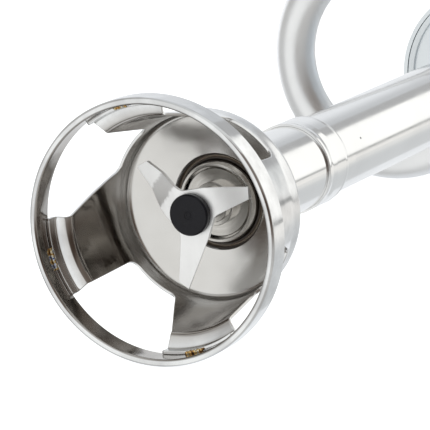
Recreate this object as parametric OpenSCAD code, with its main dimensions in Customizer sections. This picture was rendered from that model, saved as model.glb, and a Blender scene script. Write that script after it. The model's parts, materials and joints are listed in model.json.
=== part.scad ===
// Commercial immersion blender, lying on its side.
// The drive shaft runs along +Y, from the blade bell at -Y to the grip at +Y. +Z is up.
// The origin lies on the shaft axis, in the plane of the motor housing's front lip.
// Stations marked "from the ring" are distances from the guard ring's front face.

/* [Overall] */
// Distance from the guard ring's front face to the motor housing's front lip
reach = 360; // [300:5:480]
// Height of the shaft axis above the surface that the blender lies on
axis_height = 55; // [55:0.5:62]

/* [Guard ring and bell] */
// Outer radius of the guard ring
ring_r = 55; // [53:0.5:55]
// Width of the guard ring along the shaft
ring_width = 10.4; // [9:0.2:11]
// Wall thickness of the guard ring
ring_wall = 3.1; // [2.6:0.1:3.1]
// Thickness of the bell's sheet
sheet = 1.5; // [1:0.1:1.6]
// Direction of the first leg's middle, from +X towards +Z
leg_angle = 17; // [0:1:45]

/* [Blade] */
// Radius of the circle that the blade tips sweep
blade_r = 31.6; // [28:0.1:32]
// Thickness of the blade
blade_t = 1.9; // [1.5:0.1:1.9]
// Distance from the guard ring's front face to the blade's front face
blade_at = 37.3; // [36:0.1:37.3]
// Backward offset of the cranked arm's tip
crank_drop = 3.5; // [0:0.1:4]
// Forward rise of the raised arm's tip
arm_rise = 4.6; // [0:0.1:5]

/* [Mixing tube] */
// Outer radius of the tube
tube_r = 18.15; // [17:0.05:18.2]
// Wall thickness of the tube
tube_wall = 1.5; // [1:0.1:1.5]
// Radius of the drive shaft
shaft_r = 4; // [3.5:0.1:4.5]

/* [Bow handle] */
// Radius of the bow's tube
bow_tube_r = 10; // [9:0.5:10]
// Radius of the bow's middle line
bow_r = 52.3; // [50:0.1:54]

/* [Motor housing] */
// Radius of the housing's front lip
lip_r = 45.4; // [45.4:0.1:46.4]
// Radius of the housing's barrel
barrel_r = 55; // [55:0.5:58]
// Wall thickness of the housing
shell = 2; // [1.6:0.1:2]
// Length of the housing from the lip to the rear cover
barrel_len = 180; // [180:1:200]

/* [Grip] */
// Length of the grip behind the rear cover
grip_len = 134; // [134:1:150]
// Wall thickness of the grip's half shells
grip_wall = 2.6; // [2:0.1:3]
// Width of the trigger
trigger_w = 14; // [12:0.5:14]

/* [Hidden] */

$fn = 96;
eps = 0.01;
fit = 0.05;

// Guard ring and bell, stations from the ring
ring_bore = ring_r - ring_wall;
leg_end = 8.5;
leg_r = ring_bore - fit;
window_end = 47.2;
bell_corner = [41, 56.6];
bell_mouth_r = 20.75;
bell_back = 63.4;
floor_slope = (bell_back - bell_corner.y) / (bell_corner.x - bell_mouth_r);

// Neck, stations from the ring
sleeve_r = 19;
sleeve_end = 141.8;
collar_start = 129.5;
collar_end = 160;
carrier_r = 17.5;
bearing_bore = 13.05;
lower_bearing_at = 70.5;
thread_r = 3;

// Bow handle: its ring lies across the shaft, and touches the resting surface
bow_reach = 56.87;
bow_y = 8;
bow_z = bow_r + bow_tube_r - axis_height;
bow_x = -sqrt(pow(bow_reach, 2) - pow(bow_z, 2));
bow_toward_axis = atan2(-bow_z, -bow_x);
bow_half_gap = 50;

// Motor, stations from the origin
barrel_start = 42;
inner_r = barrel_r - shell - 0.2;
front_bearing_at = 44;
rear_bearing_at = 166.2;
bearing_w = 8;
stack_start = 78;
stack_end = 128;
brush_y = 149;

// Grip, stations from the origin
cover_end = barrel_len + 26;
grip_start = cover_end + 0.1;
grip_end = grip_start + grip_len;
pivot = [228, -15];
button_y = 240;
dial_tilt = 45;
dial_r = 42.5;
dial_y = barrel_len + 15.5;
dial_shaft_r = 3;
coil_wire = 0.45;

function at(station) = station - reach;
function lift(points) = [for (p = points) [p.x, at(p.y)]];

// Rounds every inner corner of an open path: radii[i] belongs to path[i]
function rounded(path, radii, n = 5) = concat([path[0]], [
    for (i = [1 : len(path) - 2]) let (
        v = path[i],
        u = (path[i - 1] - v) / norm(path[i - 1] - v),
        w = (path[i + 1] - v) / norm(path[i + 1] - v),
        reach_back = radii[i] / tan(acos(u * w) / 2),
        a = v + reach_back * u,
        b = v + reach_back * w
    ) for (k = [0 : n]) let (t = k / n) pow(1 - t, 2) * a + 2 * t * (1 - t) * v + t * t * b
], [path[len(path) - 1]]);

// Unit direction across a path at point i, towards its left
function across(path, i) = let (
    a = path[max(i - 1, 0)],
    b = path[min(i + 1, len(path) - 1)],
    d = (b - a) / norm(b - a)
) [-d.y, d.x];

// Closed outline of a sheet of thickness t on the left of a path
function sheet_outline(path, t) = concat(path,
    [for (i = [len(path) - 1 : -1 : 0]) path[i] + t * across(path, i)]);

function reversed(path) = [for (i = [len(path) - 1 : -1 : 0]) path[i]];

// Points of a helix tube: turns rings of six points around it
module coil(r, length, turns, wire) {
    steps = 12;
    sides = 6;
    count = turns * steps;
    points = [for (i = [0 : count]) for (j = [0 : sides - 1]) let (
        a = 360 * i / steps,
        q = 360 * j / sides,
        rr = r + wire * cos(q)
    ) [rr * cos(a), rr * sin(a), wire + (length - 2 * wire) * i / count + wire * sin(q)]];
    walls = [for (i = [0 : count - 1]) for (j = [0 : sides - 1]) let (k = (j + 1) % sides)
        each [[i * sides + j, (i + 1) * sides + j, (i + 1) * sides + k],
              [i * sides + j, (i + 1) * sides + k, i * sides + k]]];
    caps = [for (j = [1 : sides - 2]) each [[0, j, j + 1],
        [count * sides, count * sides + j + 1, count * sides + j]]];
    polyhedron(points, concat(walls, caps));
}

// Turns local +Z to the shaft direction +Y
module on_axis() {
    rotate([-90, 0, 0]) children();
}

// Places children, drawn along +X, in the directions given, from +X towards +Z
module polar(angles) {
    for (angle = angles) rotate([0, -angle, 0]) children();
}

module turned(points) {
    on_axis() rotate_extrude() polygon(points);
}

module tube(y0, y1, outer, inner) {
    on_axis() translate([0, 0, y0]) difference() {
        cylinder(r = outer, h = y1 - y0);
        translate([0, 0, -1]) cylinder(r = inner, h = y1 - y0 + 2);
    }
}

module rod(y0, y1, r) {
    on_axis() translate([0, 0, y0]) cylinder(r = r, h = y1 - y0);
}

module block(low, high) {
    translate(low) cube(high - low);
}

// ---- Guard ring and bell ----

// Points of an arc of radius r around a centre, between two angles
function arc(centre, r, from, to, n) =
    [for (i = [0 : n]) let (a = from + (to - from) * i / n) centre + r * [cos(a), sin(a)]];

module guard_ring() {
    big = 1;
    small = 0.5;
    front = at(0);
    back = at(ring_width);
    color("gainsboro") turned(concat(
        arc([ring_bore + big, front + big], big, 180, 270, 4),
        arc([ring_r - big, front + big], big, 270, 360, 4),
        arc([ring_r - small, back - small], small, 0, 90, 2),
        arc([ring_bore + small, back - small], small, 90, 180, 2)));
}

// The wall of the legs and the cup, from the legs' ends to the floor's mouth
function bell_path() = rounded([
    [leg_r, leg_end],
    [leg_r, 14],
    [45.9, 16.4],
    [41.2, 48],
    bell_corner,
    [bell_mouth_r, bell_back]
], [0, 1.8, 2, 30, 4.2, 0]);

// One opening between two legs, seen from outside: across the window, station from the ring
module window_outline() {
    polygon([[23.1, -5], [23.1, 13.9], [20.7, 16.3], [20, 22], [18.7, 43.6], [17.9, 45.4],
        [16.2, 46.7], [13.6, window_end], [-4, window_end], [-5.6, 45.6], [-8, 41.5], [-10.9, 36],
        [-13.3, 31], [-15.6, 27], [-17.8, 22], [-20, 17.4], [-20.9, 16], [-23.1, 13.9], [-23.1, -5]]);
}

module bell() {
    windows = [for (i = [0 : 3]) leg_angle + 45 + 90 * i];
    color("silver") difference() {
        turned(lift(sheet_outline(bell_path(), sheet)));
        polar(windows) translate([25, at(0), 0]) rotate([0, 90, 0]) linear_extrude(40) window_outline();
    }
}

// A bead of weld on the end of each leg
module ring_welds() {
    bead_r = 0.85;
    half = 8;
    middles = [for (i = [0 : 3]) leg_angle + 90 * i];
    color("tan") polar(middles) translate([0, at(leg_end - bead_r - 0.1), 0]) on_axis()
        rotate([0, 0, -half]) rotate_extrude(angle = 2 * half) translate([ring_bore - bead_r - fit, 0])
            circle(r = bead_r, $fn = 24);
}

// ---- Neck and tube ----

module neck_sleeve() {
    flange_r = 24.5;
    flange_front = bell_back - (flange_r - bell_mouth_r) * floor_slope + 0.15;
    color("silver") turned(lift([
        [20.65, bell_back + 0.15], [flange_r, flange_front], [flange_r, 68.5], [23.4, 70],
        [20.2, 71.2], [sleeve_r, 73.2], [sleeve_r, sleeve_end], [16.9, sleeve_end],
        [16.9, 80.1], [carrier_r + fit, 80.1], [carrier_r + fit, 67.5], [20.65, 67.5]]));
}

// Turned collar that joins the neck sleeve to the tube
module neck_collar() {
    color("silver") turned(lift([
        [sleeve_r + fit, collar_start], [19.8, collar_start], [19.98, 129.8], [19.98, 131.4],
        [19.75, 132.4], [19.55, 134], [19.62, 135.4], [19.95, 137.2], [20.15, 139.5], [20.15, 142],
        [19.95, 145], [19.55, 148.4], [19.1, 148.6], [19.1, 149.2], [19.45, 149.4], [19.2, 152],
        [18.85, 155.5], [18.5, 158.5], [18.35, collar_end], [tube_r + fit, collar_end],
        [tube_r + fit, 142], [sleeve_r + fit, 142]]));
}

module outer_tube() {
    hole_r = 0.5;
    color("silver") difference() {
        tube(at(142.1), 16, tube_r, tube_r - tube_wall);
        polar([leg_angle + 6]) translate([tube_r - 4, at(169.2), 0]) rotate([0, 90, 0])
            cylinder(r = hole_r, h = 8);
    }
}

module lip_seal() {
    color("#33281f") turned(lift([
        [carrier_r + fit, 64.1], [18, 63.5], [18.5, 63.5], [18.9, 64.3], [19.3, 64.3], [19.7, 62.9],
        [20.3, 62.6], [20.6, 63.2], [20.6, 67.4], [carrier_r + fit, 67.4]]));
}

module seal_carrier() {
    color("silver") turned(lift([
        [15.3, 59.6], [15.6, 59.3], [16.5, 59.3], [16.9, 59.9], [carrier_r, 61.2], [carrier_r, 80],
        [bearing_bore, 80], [bearing_bore, 65.8], [6.5, 65.8], [6.5, 64.5], [15.3, 64.5]]));
}

module shaft_seal() {
    color("#2a2a2c") tube(at(66), at(70), 12.95, shaft_r + 0.08);
}

module shaft_bushes() {
    color("tan") for (station = [190, 300])
        tube(at(station), at(station + 10), tube_r - tube_wall - fit, shaft_r + fit);
}

// ---- Blade and drive line ----

// Outline of one blade arm along +X: a straight trailing edge and a tapering leading edge
module arm_outline() {
    polygon([[0, -10.1], [9.3, -7.9], [blade_r, -0.3], [blade_r - 2.5, 4.4], [10.5, 4.8], [0, 4.5]]);
}

// One arm along +X, flat up to bend_start, and moved by drop along +Z from bend_end on
module blade_arm(drop, bend_start, bend_end) {
    tip = 40;
    intersection() {
        translate([0, 0, -tip / 2]) linear_extrude(tip) arm_outline();
        translate([0, tip / 2, 0]) rotate([90, 0, 0]) linear_extrude(tip) polygon([
            [-1, 0], [bend_start, 0], [bend_end, drop], [tip, drop],
            [tip, drop + blade_t], [bend_end, drop + blade_t], [bend_start, blade_t], [-1, blade_t]]);
    }
}

module blade() {
    bend = 10;
    color("whitesmoke") on_axis() translate([0, 0, at(blade_at)]) difference() {
        union() {
            rotate([0, 0, -25.2]) blade_arm(-arm_rise, bend, blade_r);
            rotate([0, 0, -145.2]) blade_arm(crank_drop, 12.5, 20.5);
            rotate([0, 0, -265.2]) blade_arm(-arm_rise / 4, bend, blade_r);
            cylinder(r = 9.9, h = blade_t);
        }
        translate([0, 0, -1]) cylinder(r = thread_r + fit, h = 10);
    }
}

module blade_cap() {
    color("#1e1e26") turned(lift([
        [0, 34.1], [8.2, 34.1], [8.55, 34.3], [8.7, 34.7], [8.7, 37.2], [7, 37.2], [7, 35.2], [0, 35.2]]));
}

module blade_nut() {
    color("silver") on_axis() translate([0, 0, at(35.3)]) difference() {
        cylinder(r = 4.8, h = 1.9, $fn = 6);
        translate([0, 0, -1]) cylinder(r = thread_r + fit, h = 5);
    }
}

module blade_hub() {
    bore = shaft_r + 0.02;
    color("silver") turned(lift([
        [bore, 39.3], [5.2, 39.3], [5.6, 39.7], [5.6, 55.4], [7.2, 55.4], [7.5, 55.7], [7.5, 57],
        [8.9, 57], [9.2, 57.3], [9.2, 60.8], [14.2, 60.8], [14.6, 61.2], [14.6, 62.8], [bore, 62.8]]));
}

module drive_shaft() {
    color("darkgray") {
        rod(at(35.5), at(39.25), thread_r);
        rod(at(39.25), 27.8, shaft_r);
    }
}

// Half of a two-jaw coupling, drawn along +Z from its back face, jaws up
module coupling_half(bore, jaw_angle) {
    difference() {
        union() {
            cylinder(r = 9, h = 8);
            for (side = [0, 180]) rotate([0, 0, jaw_angle + side]) rotate_extrude(angle = 86)
                translate([5.5, 8 - eps]) square([3.5, 3 + eps]);
        }
        translate([0, 0, -1]) cylinder(r = bore, h = 14);
    }
}

module coupling_lower() {
    color("dimgray") on_axis() translate([0, 0, 19.8]) coupling_half(shaft_r + 0.02, 2);
}

module coupling_upper() {
    color("dimgray") on_axis() translate([0, 0, 39]) mirror([0, 0, 1]) coupling_half(5.02, 92);
}

module motor_shaft() {
    color("darkgray") {
        rod(31.2, 52.1, 5);
        rod(52.1, 166.1, 6);
        rod(166.1, 178, 5);
    }
}

// Start and shaft radius of each ball bearing
bearings = [[at(lower_bearing_at), shaft_r], [front_bearing_at, 5], [rear_bearing_at, 5]];
race_r = 8.6;
ball_r = 1.5;
race_gap = 0.1;

module bearing_outer_rings() {
    color("lightsteelblue") for (b = bearings)
        tube(b[0], b[0] + bearing_w, bearing_bore - fit, race_r + ball_r + race_gap);
}

module bearing_inner_rings() {
    color("lightsteelblue") for (b = bearings)
        tube(b[0], b[0] + bearing_w, race_r - ball_r - race_gap, b[1] + 0.02);
}

module bearing_balls() {
    count = 8;
    color("white") for (b = bearings) polar([for (i = [0 : count - 1]) 360 * i / count])
        translate([race_r, b[0] + bearing_w / 2, 0]) sphere(r = ball_r, $fn = 24);
}

// ---- Tube mounting ----

screw_circle = 30;
screw_angles = [45, 135, 225, 315];

module tube_seal() {
    color("#202022") tube(1.4, 9, 21.3, tube_r + fit);
}

module tube_flange() {
    color("silver") difference() {
        tube(9.1, 17, 36, tube_r + fit);
        polar(screw_angles) translate([screw_circle, 8, 0]) on_axis() cylinder(r = 2.7, h = 12);
    }
}

// The screws go in from behind, so the front plate's face stays plain
module flange_screws() {
    color("silver") polar(screw_angles) translate([screw_circle, 4.4, 0]) on_axis() difference() {
        union() {
            cylinder(r = 2.5, h = 12.7);
            translate([0, 0, 12.65]) cylinder(r = 4.5, h = 3);
        }
        translate([0, 0, 14]) cylinder(r = 2.3, h = 3, $fn = 6);
    }
}

module front_plate() {
    color("#c3ccd4") difference() {
        turned([[21.4, 2.6], [39.2, 2.6], [39.4, 2.8], [39.4, 5.2], [40.4, 5.2], [40.6, 4.6], [42.7, 1.4],
            [43.1, 1.4], [43.3, 1.6], [43.3, 9], [21.4, 9]]);
        polar(screw_angles) translate([screw_circle, 4.2, 0]) on_axis() cylinder(r = 2.55, h = 12);
    }
}

// ---- Motor housing and bow ----

function housing_path() = rounded([
    [lip_r, 0], [lip_r, 24], [barrel_r, barrel_start - 2], [barrel_r, barrel_len]
], [0, 12, 16, 0], 6);

module motor_housing() {
    seat = lip_r - shell;
    inside = concat([[seat, 0], [seat, 9.1], [40, 9.1], [40, 12], [seat, 13.4]],
        rounded([[seat, 20], [seat, 25], [inner_r, barrel_start - 1], [inner_r, barrel_len]],
            [0, 10, 12, 0], 6));
    path = housing_path();
    color("gainsboro") difference() {
        turned(concat(path, reversed(inside)));
        polar([0, 180]) translate([40, brush_y, 0]) rotate([0, 90, 0]) cylinder(r = 7, h = 20);
        polar(cover_screw_angles) translate([40, barrel_len - 4, 0]) rotate([0, 90, 0])
            cylinder(r = 2.1, h = 20);
    }
}

// A part of the bow's ring with a round section, between two angles around its middle
module bow_arc(section_r, from, to) {
    translate([bow_x, bow_y, bow_z]) on_axis() rotate([0, 0, from])
        rotate_extrude(angle = to - from) translate([bow_r, 0]) circle(r = section_r);
}

bow_from = -bow_toward_axis + bow_half_gap - 5;
bow_to = -bow_toward_axis - bow_half_gap + 365;

module bow_handle() {
    color("gainsboro") difference() {
        bow_arc(bow_tube_r, bow_from, bow_to);
        bow_arc(bow_tube_r - 1.8, bow_from - 1, bow_to + 1);
        rod(-20, 40, lip_r + 0.2);
    }
}

module bow_collars() {
    collar = 6.5;
    color("silver") difference() {
        union() {
            bow_arc(bow_tube_r + 3, bow_from, bow_from + 5 + collar);
            bow_arc(bow_tube_r + 3, bow_to - 5 - collar, bow_to);
        }
        bow_arc(bow_tube_r + fit, bow_from - 1, bow_from + 20);
        bow_arc(bow_tube_r + fit, bow_to - 20, bow_to + 1);
        rod(-20, 25, lip_r + fit);
    }
}

// ---- Motor ----

module front_bracket() {
    color("silver") turned([[bearing_bore, 43], [18, 43], [18, 50], [inner_r - 0.1, 50], [inner_r - 0.1, 54],
        [7.5, 54], [7.5, 52.1], [bearing_bore, 52.1]]);
}

module rear_bracket() {
    color("silver") turned([[7.5, 162], [inner_r - 0.1, 162], [inner_r - 0.1, 166], [18, 166], [18, 175],
        [bearing_bore, 175], [bearing_bore, 166.1], [7.5, 166.1]]);
}

module cooling_fan() {
    blades = 12;
    color("dimgray") difference() {
        union() {
            rod(56, 58, 40);
            rod(56, 66, 12);
            polar([for (i = [0 : blades - 1]) 360 * i / blades]) block([11, 57, -1], [40, 66, 1]);
        }
        rod(50, 70, 6.03);
    }
}

module stator_core() {
    pole_half = 20;
    bore = 28.5;
    color("slategray") difference() {
        union() {
            tube(stack_start, stack_end, 50, 43.5);
            intersection() {
                rod(stack_start, stack_end, 45);
                block([-pole_half, stack_start, -45], [pole_half, stack_end, 45]);
            }
        }
        rod(stack_start - 1, stack_end + 1, bore);
    }
}

module stator_coils() {
    color("#b5652e") for (side = [-1, 1]) translate([0, 0, side * 31.4]) difference() {
        block([-27, stack_start - 8, -2.3], [27, stack_end + 8, 2.3]);
        block([-20.4, stack_start - 0.5, -5], [20.4, stack_end + 0.5, 5]);
    }
}

module rotor_core() {
    slots = 12;
    color("slategray") difference() {
        tube(stack_start + 0.1, stack_end - 0.1, 27.9, 6.03);
        polar([for (i = [0 : slots - 1]) 360 * i / slots + 15])
            block([24, stack_start - 1, -1.2], [30, stack_end + 1, 1.2]);
    }
}

module rotor_windings() {
    color("#b5652e") {
        turned([[7, 68], [20, 68], [24.5, 71], [25, 78], [7, 78]]);
        turned([[7, 128], [25, 128], [24.5, 135], [20, 138], [7, 138]]);
    }
}

module commutator() {
    bars = 12;
    color("#b87333") difference() {
        tube(141, 157, 14, 6.03);
        polar([for (i = [0 : bars - 1]) 360 * i / bars]) block([12.5, 140, -0.3], [15, 158, 0.3]);
    }
}

module brush_holders() {
    color("#b5903a") polar([0, 180]) difference() {
        block([15.5, brush_y - 5, -6], [45, brush_y + 5, 6]);
        block([10, brush_y - 3.1, -4.1], [50, brush_y + 3.1, 4.1]);
    }
}

module carbon_brushes() {
    color("#2b2b2b") polar([0, 180]) block([14.1, brush_y - 3, -4], [28, brush_y + 3, 4]);
}

module brush_springs() {
    color("silver") polar([0, 180]) translate([28.1, brush_y, 0]) rotate([0, 90, 0])
        coil(2.4, 17.2, 6, coil_wire);
}

module brush_caps() {
    color("#1c1c1c") polar([0, 180]) translate([45.4, brush_y, 0]) rotate([0, 90, 0]) difference() {
        cylinder(r = 6.9, h = 10.4);
        translate([-8, -0.7, 9.2]) cube([16, 1.4, 3]);
    }
}

// ---- Rear cover and controls ----

cover_screw_angles = [20, 110, 200, 290];

function cover_path() = rounded([
    [barrel_r, barrel_len + 0.1], [barrel_r, barrel_len + 4], [31, cover_end]
], [0, 5, 0], 6);

// Places children, drawn along +Z, on the cover's sloping wall at its top
module on_cover_slope() {
    translate([0, dial_y, dial_r]) rotate([-dial_tilt, 0, 0]) children();
}

module rear_cover() {
    path = cover_path();
    vents = [for (i = [0 : 11]) if (abs(i * 30 - 90) > 35) i * 30];
    color("#c3ccd4") difference() {
        union() {
            turned(concat(path, [[20.5, cover_end], [20.5, cover_end - 2.5], [30, cover_end - 2.5],
                [50.2, barrel_len + 5], [50.2, barrel_len - 7], [52.6, barrel_len - 7],
                [52.6, barrel_len + 0.1]]));
            on_cover_slope() cylinder(r = 16, h = 4);
        }
        polar(vents) translate([dial_r, dial_y, 0]) rotate([0, 0, 45]) block([-8, -12, -2], [8, 12, 2]);
        on_cover_slope() translate([0, 0, -20]) cylinder(r = dial_shaft_r + 0.08, h = 40);
        polar(cover_screw_angles) translate([45, barrel_len - 4, 0]) rotate([0, 90, 0])
            cylinder(r = 2.03, h = 8);
    }
}

module cover_screws() {
    color("silver") polar(cover_screw_angles) translate([48, barrel_len - 4, 0]) rotate([0, 90, 0])
        difference() {
            union() {
                cylinder(r = 2, h = 7.2);
                translate([0, 0, 7.1]) cylinder(r = 3.8, h = 1.8);
            }
            translate([-4, -0.5, 8]) cube([8, 1, 2]);
        }
}

module control_board() {
    color("darkgreen") {
        tube(179, 180.6, 50.1, 12);
        polar([0, 60, 180, 240, 300]) translate([30, 180.5, 0]) on_axis() cylinder(r = 4, h = 9);
    }
}

module dial_shaft() {
    color("silver") on_cover_slope() translate([0, 0, -6]) cylinder(r = dial_shaft_r, h = 15);
}

module speed_dial() {
    ribs = 18;
    color("#1c1c1c") on_cover_slope() translate([0, 0, 4.4]) difference() {
        union() {
            cylinder(r = 14, h = 3);
            cylinder(r = 11, h = 11);
        }
        translate([0, 0, -1]) cylinder(r = dial_shaft_r + 0.02, h = 7);
        for (i = [0 : ribs - 1]) rotate([0, 0, 360 * i / ribs]) translate([11.4, 0, 4])
            cylinder(r = 1, h = 10, $fn = 16);
        translate([-0.6, 6, 10]) cube([1.2, 6, 3]);
    }
}

// ---- Grip ----

function grip_path() = rounded([
    [30.5, grip_start], [30.5, grip_start + 4], [21.5, grip_start + 20], [23.5, grip_start + 56],
    [21.5, grip_start + 96], [25.5, grip_start + 122], [22, grip_end], [9, grip_end]
], [0, 2.5, 14, 60, 50, 12, 5, 0], 6);

function grip_inside() = rounded([
    [22, grip_start], [22, grip_start + 6], [18.6, grip_start + 20], [20.6, grip_start + 56],
    [18.6, grip_start + 96], [22, grip_start + 118], [20, grip_end - grip_wall], [9, grip_end - grip_wall]
], [0, 2, 12, 50, 40, 10, 3, 0], 6);

grip_screw_places = [[216, 9], [300, 9], [326, -14]];

module grip_solid() {
    difference() {
        union() {
            turned(concat(grip_path(), reversed(grip_inside())));
            for (p = grip_screw_places) intersection() {
                translate([-30, p.x, p.y]) rotate([0, 90, 0]) cylinder(r = 4, h = 60);
                rod(grip_start, grip_end, 20.4);
            }
        }
        block([-trigger_w / 2 - 0.3, 222, -40], [trigger_w / 2 + 0.3, 292, -12]);
        translate([0, button_y, 10]) cylinder(r = 6.8, h = 30);
        rod(grip_end - 10, grip_end + 5, 8.1);
        block([-2.1, grip_end - 18, 13.9], [2.1, grip_end + 1, 20.1]);
        translate([-30, pivot.x, pivot.y]) rotate([0, 90, 0]) cylinder(r = 2.02, h = 60);
        for (p = grip_screw_places) translate([0, p.x, p.y]) rotate([0, 90, 0]) {
            translate([0, 0, -12]) cylinder(r = 1.62, h = 40);
            translate([0, 0, 14]) cylinder(r = 3.2, h = 20);
        }
    }
}

module grip_left() {
    color("#2b2c30") intersection() {
        grip_solid();
        block([-40, 200, -40], [-fit, 350, 40]);
    }
}

module grip_right() {
    color("#2b2c30") intersection() {
        grip_solid();
        block([fit, 200, -40], [40, 350, 40]);
    }
}

module grip_screws() {
    color("silver") for (p = grip_screw_places) translate([0, p.x, p.y]) rotate([0, 90, 0]) difference() {
        union() {
            translate([0, 0, -11.5]) cylinder(r = 1.6, h = 26);
            translate([0, 0, 14.1]) cylinder(r = 3, h = 2.2);
        }
        translate([0, 0, 15.2]) cylinder(r = 1.3, h = 3, $fn = 6);
    }
}

module trigger() {
    color("#1c1c1c") difference() {
        translate([trigger_w / 2, 0, 0]) rotate([0, -90, 0]) linear_extrude(trigger_w)
            polygon([[-11.5, 224.5], [-19, 223.5], [-23.5, 226], [-27, 236], [-30.5, 250], [-31.5, 262],
                [-30.5, 274], [-30, 284], [-28, 290], [-16.5, 290], [-14.5, 286], [-14.5, 236],
                [-11.5, 232]]);
        translate([-10, pivot.x, pivot.y]) rotate([0, 90, 0]) cylinder(r = 2.05, h = 20);
        block([-trigger_w / 2 + 2, 238, -26], [trigger_w / 2 - 2, 286, -10]);
    }
}

module trigger_pin() {
    color("silver") translate([-13, pivot.x, pivot.y]) rotate([0, 90, 0]) cylinder(r = 2, h = 26);
}

module trigger_spring() {
    color("silver") translate([0, 270, -25.9]) coil(3.4, 19.8, 7, coil_wire);
}

module lock_button() {
    color("firebrick") {
        translate([0, button_y, 15.2]) cylinder(r = 8, h = 2);
        translate([0, button_y, 17.1]) cylinder(r = 6.5, h = 8.4);
    }
}

module lock_spring() {
    color("silver") translate([0, button_y, 4.1]) coil(4, 11, 5, coil_wire);
}

module switch_body() {
    color("#3a3a3a") {
        block([-8, 230, -4], [8, 250, 4]);
        block([-8, 260, -6], [8, 284, 8]);
    }
}

module cable_gland() {
    color("#1c1c1c") difference() {
        union() {
            rod(grip_end - 12, grip_end + 0.2, 8);
            on_axis() translate([0, 0, grip_end + 0.1]) cylinder(r = 12, h = 6, $fn = 6);
            turned([[0, grip_end + 6], [9.5, grip_end + 6], [9.3, grip_end + 9], [7.6, grip_end + 11.6],
                [6.4, grip_end + 12.2], [0, grip_end + 12.2]]);
        }
        rod(grip_end - 20, grip_end + 20, 4.2);
    }
}

module hang_eye() {
    eye = [grip_end + 12, 23];
    color("silver") difference() {
        union() {
            block([-2, grip_end - 16, 14], [2, grip_end + 6, 20]);
            translate([-2, eye.x, eye.y]) rotate([0, 90, 0]) cylinder(r = 9.5, h = 4);
        }
        translate([-3, eye.x, eye.y]) rotate([0, 90, 0]) cylinder(r = 5.5, h = 6);
    }
}

guard_ring();
bell();
ring_welds();
neck_sleeve();
neck_collar();
outer_tube();
lip_seal();
seal_carrier();
shaft_seal();
blade();
blade_cap();
blade_nut();
blade_hub();
drive_shaft();
shaft_bushes();
tube_seal();
tube_flange();
flange_screws();
front_plate();
motor_housing();
bow_handle();
bow_collars();
coupling_lower();
coupling_upper();
motor_shaft();
bearing_outer_rings();
bearing_inner_rings();
bearing_balls();
front_bracket();
rear_bracket();
cooling_fan();
stator_core();
stator_coils();
rotor_core();
rotor_windings();
commutator();
brush_holders();
carbon_brushes();
brush_springs();
brush_caps();
rear_cover();
cover_screws();
control_board();
speed_dial();
dial_shaft();
grip_left();
grip_right();
grip_screws();
trigger();
trigger_pin();
trigger_spring();
lock_button();
lock_spring();
switch_body();
cable_gland();
hang_eye();
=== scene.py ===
"""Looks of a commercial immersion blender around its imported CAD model.

The CAD nodes get procedural steel, rubber and plastic, and smooth meshes take the place of the shapes that
the camera sees close up. A world of soft panels lights them over a pale floor. Outlines and paths are in
millimetres until add_mesh turns them into metres.
"""

import json
import math
import random

import bmesh
import bpy
from mathutils import Matrix, Vector, geometry

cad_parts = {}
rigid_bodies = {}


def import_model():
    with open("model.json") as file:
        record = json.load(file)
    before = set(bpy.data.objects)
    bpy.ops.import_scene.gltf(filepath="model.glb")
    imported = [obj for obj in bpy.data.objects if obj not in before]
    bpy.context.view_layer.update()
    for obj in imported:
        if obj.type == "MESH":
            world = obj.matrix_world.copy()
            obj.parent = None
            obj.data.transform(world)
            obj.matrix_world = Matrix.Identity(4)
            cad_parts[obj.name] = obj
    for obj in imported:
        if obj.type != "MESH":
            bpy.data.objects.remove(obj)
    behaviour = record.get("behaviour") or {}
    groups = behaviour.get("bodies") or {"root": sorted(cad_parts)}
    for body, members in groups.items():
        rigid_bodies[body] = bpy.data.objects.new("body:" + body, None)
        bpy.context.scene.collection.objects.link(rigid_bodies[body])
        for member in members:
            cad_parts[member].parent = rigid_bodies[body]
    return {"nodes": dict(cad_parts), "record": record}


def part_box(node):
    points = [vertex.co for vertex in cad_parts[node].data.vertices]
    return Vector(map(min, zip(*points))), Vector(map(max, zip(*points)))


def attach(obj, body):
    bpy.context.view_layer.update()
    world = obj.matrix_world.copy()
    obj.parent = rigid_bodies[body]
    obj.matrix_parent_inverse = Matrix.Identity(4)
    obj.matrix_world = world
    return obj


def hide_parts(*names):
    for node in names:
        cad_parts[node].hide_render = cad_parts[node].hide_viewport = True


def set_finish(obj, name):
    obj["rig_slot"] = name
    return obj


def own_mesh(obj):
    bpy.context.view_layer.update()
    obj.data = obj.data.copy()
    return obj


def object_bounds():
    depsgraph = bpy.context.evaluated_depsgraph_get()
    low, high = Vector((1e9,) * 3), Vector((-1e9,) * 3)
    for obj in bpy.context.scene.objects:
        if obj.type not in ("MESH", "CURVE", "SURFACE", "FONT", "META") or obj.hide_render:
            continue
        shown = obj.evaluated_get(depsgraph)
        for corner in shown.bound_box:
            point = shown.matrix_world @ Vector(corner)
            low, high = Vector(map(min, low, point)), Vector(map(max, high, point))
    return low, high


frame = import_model()
cad_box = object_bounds()
scene = bpy.context.scene
nodes = frame["nodes"]
MM = 0.001
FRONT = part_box("guard_ring")[0].y / MM
LEG_ANGLE = 17  # degrees from +X towards +Z, to the middle of the first leg


def at(station):
    """The y coordinate, in millimetres, of a distance from the guard ring's front face."""
    return FRONT + station


# ---- Outlines ----

def rounded(path, radii, steps=8):
    """The open path with an arc of the given radius at each inner corner."""
    points = [Vector(path[0])]
    for before, corner, after, radius in zip(path, path[1:], path[2:], radii):
        corner = Vector(corner)
        back = (Vector(before) - corner).normalized()
        ahead = (Vector(after) - corner).normalized()
        half = back.angle(ahead) / 2
        if radius == 0:
            points.append(corner)
            continue
        centre = corner + (back + ahead).normalized() * radius / math.sin(half)
        start = corner + back * radius / math.tan(half) - centre
        sweep = (math.pi - 2 * half) * (1 if back.x * ahead.y - back.y * ahead.x < 0 else -1)
        for k in range(steps + 1):
            points.append(centre + Matrix.Rotation(sweep * k / steps, 2) @ start)
    points.append(Vector(path[-1]))
    return points


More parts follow.
